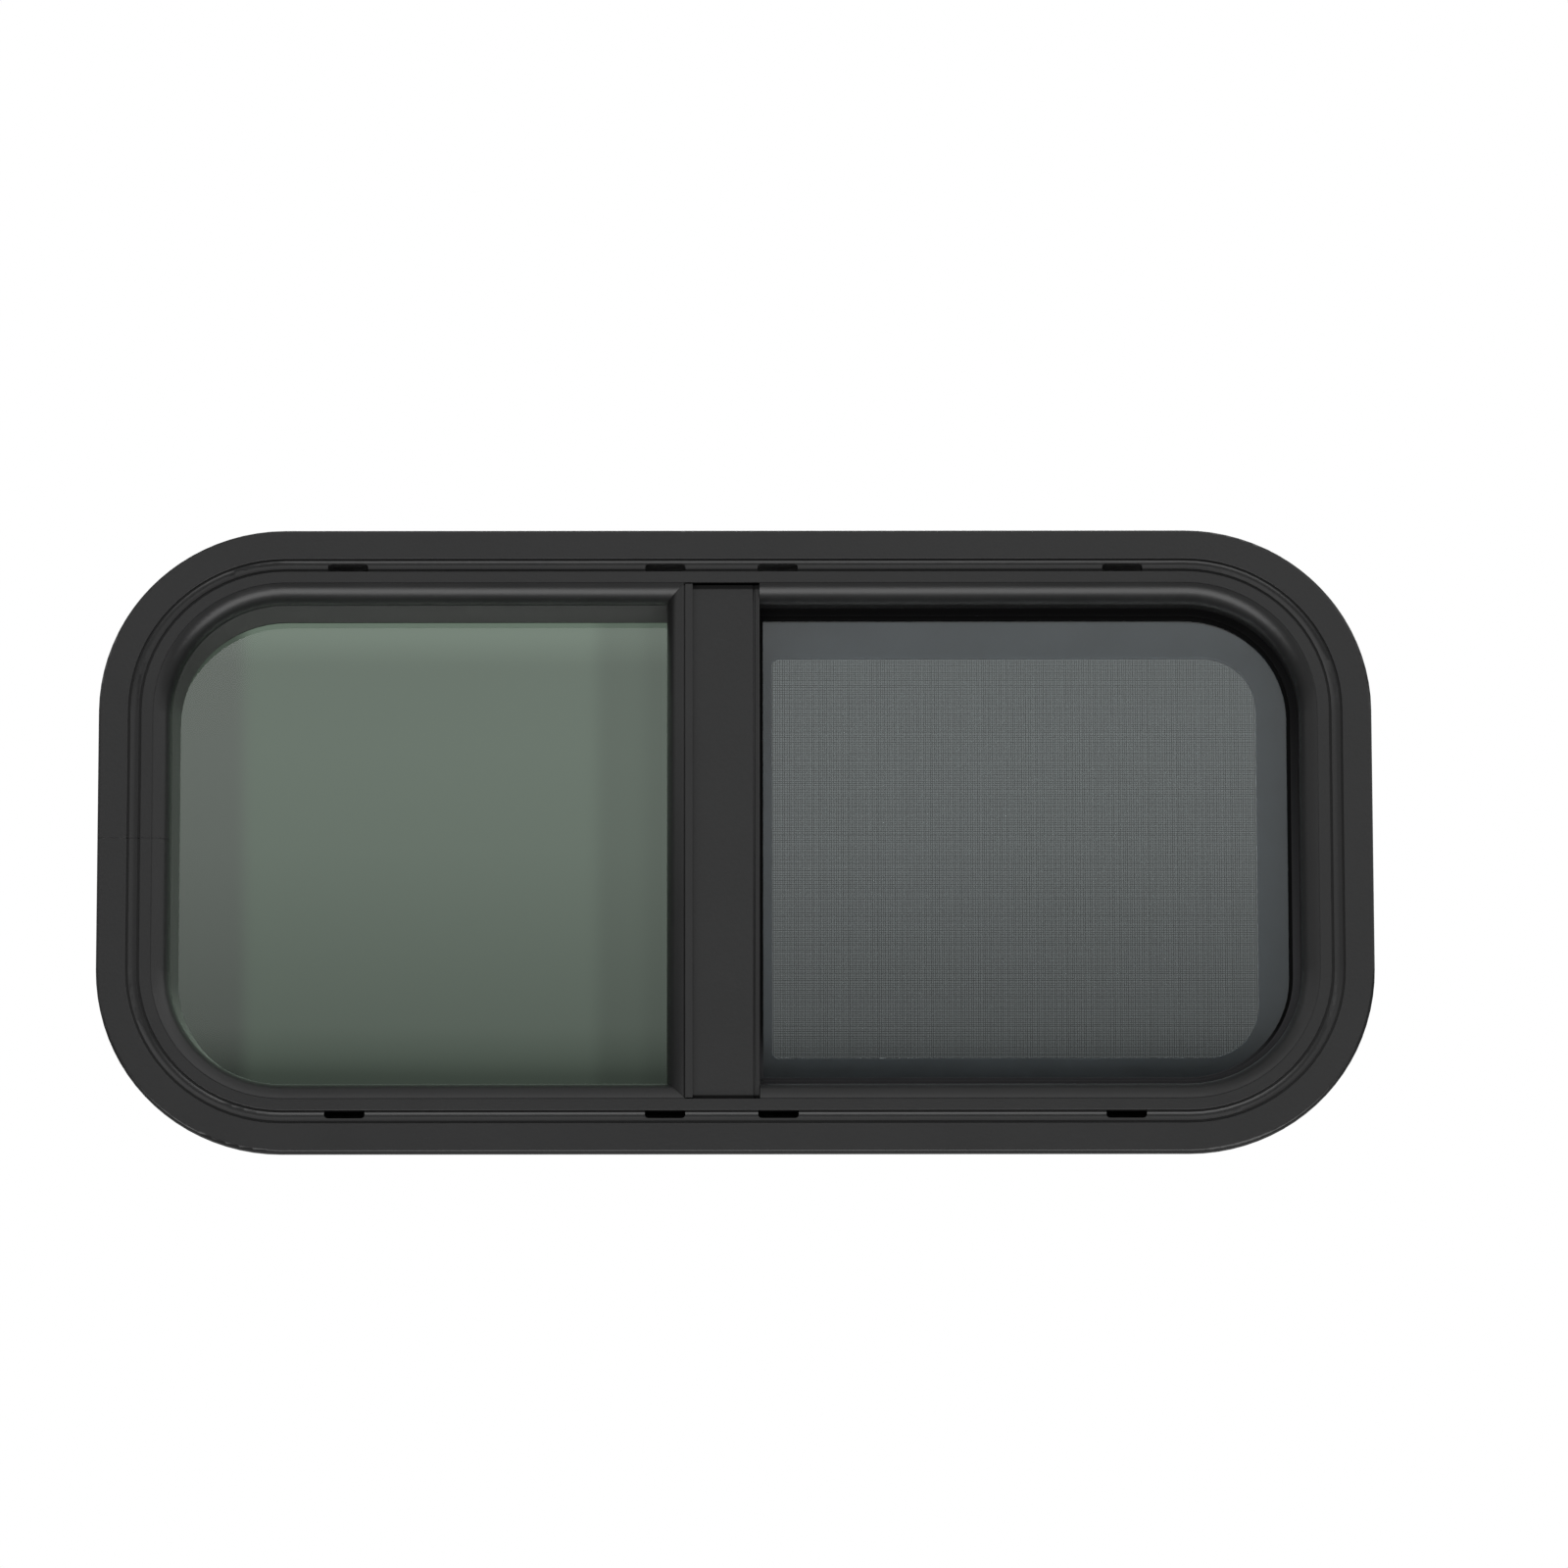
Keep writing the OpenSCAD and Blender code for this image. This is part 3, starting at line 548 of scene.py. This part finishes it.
def moveEnd(shape, axis, place, distance, behind=-100, reach=0.6):
    # moves the end of a shape that lies at a place along one axis, or only the part of it behind some depth
    sign = math.copysign(1, distance)
    chosen = [vert for vert in shape.verts if (vert.co[axis] - place) * sign > -reach and vert.co.y > behind]
    step = [0, 0, 0]
    step[axis] = distance
    bmesh.ops.translate(shape, verts=chosen, vec=step)


# mullion: it fills its notch, so that no light passes beside it
mullionBar = {"round": 0.3, "longer": 0.8, "lower": 1.5, "wider": 1.4, "tenon": 0.6, "tenonFrom": 3.0}
mullionLow, mullionHigh = corners("mullion")
shape = softCopy("mullion", mullionBar["round"], 3)
moveEnd(shape, 2, mullionHigh.z, mullionBar["longer"])
moveEnd(shape, 2, mullionLow.z, -mullionBar["lower"])
moveEnd(shape, 2, mullionHigh.z, mullionBar["tenon"], mullionBar["tenonFrom"])
moveEnd(shape, 2, mullionLow.z, -mullionBar["tenon"], mullionBar["tenonFrom"])
moveEnd(shape, 0, mullionHigh.x, mullionBar["wider"])
finishPiece("mullionBar", shape, "mullion")

# rounded bead beside the mullion; the floor of the line along it is sunk deeper
mullionBead = {"round": 0.12, "line": 0.8, "reach": 0.15, "deeper": 0.65}
low, high = corners("mullion_bead")
shape = softCopy("mullion_bead", mullionBead["round"])
lineFrom = mullionLow.x - mullionBead["line"] - mullionBead["reach"]
lineTo = mullionLow.x + mullionBead["reach"]
lineFloor = [vert for vert in shape.verts if lineFrom < vert.co.x < lineTo
             and abs(vert.co.y - low.y - mullionBead["line"]) < mullionBead["reach"]]
bmesh.ops.translate(shape, verts=lineFloor, vec=(0, mullionBead["deeper"], 0))
finishPiece("mullionBead", shape, "mullion_bead")

mullionSeal = {"round": 0.6, "longer": 1.6, "wider": 0.6}
low, high = corners("mullion_seal")
shape = softCopy("mullion_seal", mullionSeal["round"], 3)
moveEnd(shape, 2, high.z, mullionSeal["longer"])
moveEnd(shape, 2, low.z, -mullionSeal["longer"])
moveEnd(shape, 0, high.x, mullionSeal["wider"])
finishPiece("mullionSeal", shape, "mullion_seal")

meetingStile = {"round": 0.4}
finishPiece("meetingStile", softCopy("sash_stile", meetingStile["round"], 3), "sash_stile")

# splice plate: rounded corners, and punch marks that hold both ends of the bent bar
splicePlate = {"corner": 3.5, "cornerSegments": 5, "round": 0.2, "rimAngle": 60, "markWide": 1.9,
               "markNarrow": 1.1, "markHeight": 0.45, "markSides": 20, "marksAcross": (0.3, 0.7),
               "marksUp": (0.12, 0.3, 0.7, 0.88)}
low, high = corners("frame_joint_plate")
size = high - low
shape = bmesh.new()
points = [(low.x, low.y, low.z), (low.x, high.y, low.z), (low.x, high.y, high.z), (low.x, low.y, high.z)]
face = roundedFace(shape, points, [splicePlate["corner"]] * 4, splicePlate["cornerSegments"])
grown = bmesh.ops.extrude_face_region(shape, geom=[face])["geom"]
bmesh.ops.translate(shape, verts=only(grown, bmesh.types.BMVert), vec=(size.x, 0, 0))
bmesh.ops.recalc_face_normals(shape, faces=shape.faces)
rims = [edge for edge in shape.edges if edge.calc_face_angle(0) > math.radians(splicePlate["rimAngle"])]
bmesh.ops.bevel(shape, geom=rims, offset=splicePlate["round"], offset_type="OFFSET", segments=2, profile=0.5,
                affect="EDGES", material=-1)
for alongZ in splicePlate["marksUp"]:
    for alongY in splicePlate["marksAcross"]:
        where = (low.x - splicePlate["markHeight"] / 2, low.y + size.y * alongY, low.z + size.z * alongZ)
        bmesh.ops.create_cone(shape, cap_ends=True, segments=splicePlate["markSides"],
                              radius1=splicePlate["markWide"], radius2=splicePlate["markNarrow"],
                              depth=splicePlate["markHeight"],
                              matrix=Matrix.Translation(where) @ Matrix.Rotation(-math.pi / 2, 4, "Y"))
finishPiece("splicePlate", shape, "frame_joint_plate")

# small fittings: each has its node and the radius of its edges
fittings = {"latchKeeper": ("latch_keeper", 0.4), "sashGlides": ("sash_glides", 0.3),
            "latchBody": ("latch_body", 0.3), "latchLever": ("latch_lever", 0.2),
            "screenPulls": ("screen_pulls", 0.3)}
for name, (node, radius) in fittings.items():
    finishPiece(name, softCopy(node, radius), node)
print("mullion, sash and latch made")

# fly screen: a flat frame with a groove at the back, a cord in it and the cloth across
screen = {"bar": 22.7, "openingRadius": 25.0, "leftRadius": 3.0, "outerLeftRadius": 4.0, "lip": 2.0,
          "lipHeight": 3.0, "grooveWidth": 4.0, "grooveFloor": 1.5, "grooveChamfer": 0.2, "edge": 0.7,
          "segments": 14}
screenLow, screenHigh = corners("screen_frame")
opening = {"left": screenLow.x + screen["bar"], "right": screenHigh.x - screen["bar"],
           "bottom": screenLow.z + screen["bar"], "top": screenHigh.z - screen["bar"]}
outerRadius = outline["cornerRadius"] - (frameHigh.z - screenHigh.z)


def openingLoop(shape, grow, y):
    # the screen's opening, grown on all sides
    near = screen["leftRadius"] + grow
    wide = screen["openingRadius"] + grow
    return outlineLoop(shape, (opening["left"] - grow, opening["bottom"] - grow),
                       (opening["right"] + grow, opening["top"] + grow),
                       [near, wide, wide, near], y, screen["segments"])


def outerLoop(shape, shrink, y):
    # the screen frame's outline, shrunk on all sides
    near = screen["outerLeftRadius"] - shrink
    wide = outerRadius - shrink
    return outlineLoop(shape, (screenLow.x + shrink, screenLow.z + shrink),
                       (screenHigh.x - shrink, screenHigh.z - shrink),
                       [near, wide, wide, near], y, screen["segments"])


shape = bmesh.new()
front, back, soft = screenLow.y, screenHigh.y, screen["edge"]
half = soft * (1 - math.sqrt(0.5))  # the middle of a rounded edge
lipY, floorY = front + screen["lipHeight"], front + screen["grooveFloor"]
grooveIn, grooveOut = screen["lip"], screen["lip"] + screen["grooveWidth"]
chamfer = screen["grooveChamfer"]
stations = [
    outerLoop(shape, soft, front), openingLoop(shape, soft, front), openingLoop(shape, half, front + half),
    openingLoop(shape, 0, front + soft), openingLoop(shape, 0, lipY), openingLoop(shape, grooveIn, lipY),
    openingLoop(shape, grooveIn, floorY), openingLoop(shape, grooveOut, floorY),
    openingLoop(shape, grooveOut, back - chamfer), openingLoop(shape, grooveOut + chamfer, back),
    outerLoop(shape, soft, back), outerLoop(shape, half, back - half), outerLoop(shape, 0, back - soft),
    outerLoop(shape, 0, front + soft), outerLoop(shape, half, front + half)]
bridgeStations(shape, stations, closed=True)
finishPiece("screenFrame", shape, "screen_frame")

cord = {"points": 10, "gap": 0.1}
cordLow, cordHigh = corners("screen_spline")
cordHalfWidth = (cordHigh.x - opening["right"] - grooveIn - cord["gap"]) / 2
cordHalfDepth = (cordHigh.y - cordLow.y) / 2
cordMiddle = grooveIn + cord["gap"] + cordHalfWidth
shape = bmesh.new()
stations = []
for point in range(cord["points"]):
    angle = 2 * math.pi * point / cord["points"]
    stations.append(openingLoop(shape, cordMiddle + cordHalfWidth * math.cos(angle),
                                cordLow.y + cordHalfDepth + cordHalfDepth * math.sin(angle)))
bridgeStations(shape, stations, closed=True)
finishPiece("screenCord", shape, "screen_spline")

# cloth: upright threads in front of level ones, each a little off its even place and thickness
cloth = {"pitch": 1.06, "thread": 0.32, "apart": 0.4, "sides": 5, "wander": 0.24, "thinning": 0.5}
clothLow, clothHigh = corners("screen_mesh")


def cornerLoss(near, radius):
    # how much shorter a thread is where it ends in a rounded corner, so near to the side that it runs along
    if near >= radius:
        return 0.0
    return radius - math.sqrt(radius ** 2 - (radius - near) ** 2)


def wander(index, start):
    # how far one thread lies off its even place: two unlike waves, so that no repeat shows
    return cloth["wander"] * (math.sin(index * 2.39 + start) + math.sin(index * 5.77 + start * 3)) / 2


def addThread(shape, first, last, thinner):
    # one thread of the cloth, from one point to another
    first, last = Vector(first), Vector(last)
    radius = (cloth["thread"] - abs(thinner) * cloth["thinning"]) / 2
    turn = (last - first).to_track_quat("Z", "Y").to_matrix().to_4x4()
    bmesh.ops.create_cone(shape, cap_ends=True, segments=cloth["sides"], radius1=radius, radius2=radius,
                          depth=(last - first).length, matrix=Matrix.Translation((first + last) / 2) @ turn)


shape = bmesh.new()
width, height = clothHigh.x - clothLow.x, clothHigh.z - clothLow.z
wideRadius, nearRadius = screen["openingRadius"] + screen["lip"], screen["leftRadius"] + screen["lip"]
step = cloth["thread"] * cloth["apart"]
frontY, backY = (clothLow.y + clothHigh.y) / 2 - step, (clothLow.y + clothHigh.y) / 2 + step
count = int(width / cloth["pitch"])
for index in range(count):
    x = clothLow.x + (index + 0.5) * width / count + wander(index, 0.0)
    loss = cornerLoss(x - clothLow.x, nearRadius) + cornerLoss(clothHigh.x - x, wideRadius)
    addThread(shape, (x, frontY, clothLow.z + loss), (x, frontY, clothHigh.z - loss), wander(index, 2.0))
count = int(height / cloth["pitch"])
for index in range(count):
    z = clothLow.z + (index + 0.5) * height / count + wander(index, 1.0)
    near = min(z - clothLow.z, clothHigh.z - z)
    addThread(shape, (clothLow.x + cornerLoss(near, nearRadius), backY, z),
              (clothHigh.x - cornerLoss(near, wideRadius), backY, z), wander(index, 3.0))
clothPiece = finishPiece("screenCloth", shape, "screen_mesh", sharp=80)
lostCorners = (4 - math.pi) / 2 * (wideRadius ** 2 + nearRadius ** 2)
(width * height - lostCorners) * mm * mm
print("fly screen made")

# camera: it looks up at the window; the centre is where the window's middle lies in the photograph
camera = {"distance": 5.6, "elevation": -13.0, "roll": -0.1, "pixelsPerMetre": 2170, "centreX": 750.3,
          "centreY": 856.2, "photoWidth": 1600, "sensor": 36}
middle = Vector((0, frameLow.y, outline["midZ"])) * mm
tilt = math.radians(camera["elevation"])
away = Vector((0, -math.cos(tilt), math.sin(tilt)))
upAcross = Vector((0, math.sin(tilt), math.cos(tilt)))
photoMiddle = camera["photoWidth"] / 2
aim = middle + Vector((1, 0, 0)) * ((photoMiddle - camera["centreX"]) / camera["pixelsPerMetre"])
aim += upAcross * ((camera["centreY"] - photoMiddle) / camera["pixelsPerMetre"])
eye = middle + away * camera["distance"]
lensData = bpy.data.cameras.new("camera")
lensData.sensor_width = camera["sensor"]
lensData.lens = camera["sensor"] * camera["pixelsPerMetre"] * camera["distance"] / camera["photoWidth"]
lensData.clip_start = 0.1
lensData.clip_end = 60
cameraObject = bpy.data.objects.new("camera", lensData)
cameraObject.location = eye
roll = Matrix.Rotation(math.radians(camera["roll"]), 3, "Z")
cameraObject.rotation_euler = ((aim - eye).to_track_quat("-Z", "Y").to_matrix() @ roll).to_euler()
bpy.context.scene.collection.objects.link(cameraObject)
bpy.context.scene.camera = cameraObject
bpy.context.scene.view_settings.view_transform = "Standard"

# surroundings: the panes show a narrow band of them, so a ramp of its own spans the sines of height from
# bandLow to bandHigh; a stripe has its two sides, and its levels around the window and through the panes
studio = {"bandLow": 0.17, "bandHigh": 0.27,
          "bandAround": [(0.0, 0.05), (0.34, 0.12), (0.355, 0.157), (0.37, 0.353), (0.395, 0.667),
                         (0.46, 0.84), (0.54, 1.01), (0.62, 1.13), (0.69, 1.18), (0.715, 1.38), (1.0, 1.45)],
          "bandThrough": [(0.0, 0.1), (0.34, 0.13), (0.355, 0.151), (0.37, 0.22), (0.395, 0.275),
                          (0.46, 0.315), (0.54, 0.373), (0.62, 0.393), (0.69, 0.387), (0.715, 0.5),
                          (1.0, 0.6)],
          "stripes": [(-0.055, -0.0412, 1.9, 0.5), (-0.0106, -0.003, 1.0, 0.79),
                      (-0.0066, -0.003, 1.0, 0.85)],
          "stripeRise": 0.002, "stripeFall": 0.001,
          "broad": [(0.0, 1.0), (0.69, 1.0), (0.76, 0.75), (0.85, 0.55), (0.93, 0.45), (1.0, 0.4)],
          "leftFade": (-0.25, 0.05, 0.6, 1.0)}
world = bpy.data.worlds.new("studio")
bpy.context.scene.world = world
world.use_nodes = True
world.node_tree.nodes.clear()
kit = Sock(world.node_tree)
direction = kit.node("ShaderNodeTexCoord", out="Generated")
across, rise = kit.coordinate(direction, "X"), kit.coordinate(direction, "Z")
band = (rise - studio["bandLow"]) * (1 / (studio["bandHigh"] - studio["bandLow"]))
broad = kit.node("ShaderNodeValToRGB", {"stops": studio["broad"]}, {0: rise * 0.5 + 0.5})
around = kit.node("ShaderNodeValToRGB", {"stops": studio["bandAround"]}, {0: band}) * broad
around = around * across.smooth(*studio["leftFade"])
through = kit.node("ShaderNodeValToRGB", {"stops": studio["bandThrough"]}, {0: band})
for left, right, more, less in studio["stripes"]:
    stripe = across.within(left - studio["stripeRise"], left,
                           right - studio["stripeFall"], right + studio["stripeFall"])
    around = around * (1.0 + stripe * (more - 1.0))
    through = through * (1.0 - stripe * (1.0 - less))
isThrough = kit.node("ShaderNodeLightPath", out="Is Transmission Ray")
isSeen = kit.node("ShaderNodeLightPath", out="Is Camera Ray")
shade = kit.blend(isSeen, kit.blend(isThrough, around, through), (1, 1, 1, 1))
background = kit.node("ShaderNodeBackground", {}, {"Color": shade, "Strength": 1.0})
kit.node("ShaderNodeOutputWorld", {}, {"Surface": background})

# lamps: a wide soft one below and in front of the window, and one behind it for the back
lowLamp = {"place": (0, -2.434, -1.889), "width": 5.76, "height": 1.92, "power": 108}
backLamp = {"place": (0, 3.0, 1.5), "width": 2.0, "height": 1.5, "power": 55}


def softLamp(name, values):
    data = bpy.data.lights.new(name, "AREA")
    data.shape = "RECTANGLE"
    data.size = values["width"]
    data.size_y = values["height"]
    data.energy = values["power"]
    lamp = bpy.data.objects.new(name, data)
    lamp.location = values["place"]
    lamp.rotation_euler = (middle - Vector(values["place"])).to_track_quat("-Z", "Y").to_euler()
    lamp.visible_camera = False
    bpy.context.scene.collection.objects.link(lamp)
    return lamp


softLamp("lowLamp", lowLamp)
softLamp("backLamp", backLamp).visible_transmission = False

# floor: far below, because the camera looks up at the window
stage = {"height": -2.6, "size": 50, "tone": 0.8, "toneInPanes": 0.25}
floorMesh = bmesh.new()
bmesh.ops.create_grid(floorMesh, x_segments=1, y_segments=1, size=stage["size"])
bmesh.ops.translate(floorMesh, verts=floorMesh.verts, vec=(0, 0, stage["height"]))
floorData = bpy.data.meshes.new("floor")
floorMesh.to_mesh(floorData)
floorMesh.free()
floor = bpy.data.objects.new("floor", floorData)
bpy.context.scene.collection.objects.link(floor)
kit, place = newFinish("paleFloor")
isSeen = kit.node("ShaderNodeLightPath", out="Is Camera Ray")
inPanes, plain = [(tone, tone, tone, 1) for tone in (stage["toneInPanes"], stage["tone"])]
matt = kit.node("ShaderNodeBsdfDiffuse", {}, {"Color": kit.blend(isSeen, inPanes, plain)})
kit.node("ShaderNodeOutputMaterial", {}, {"Surface": matt})
floorData.materials.append(finishes["paleFloor"])
print("camera, lamps and floor in place")
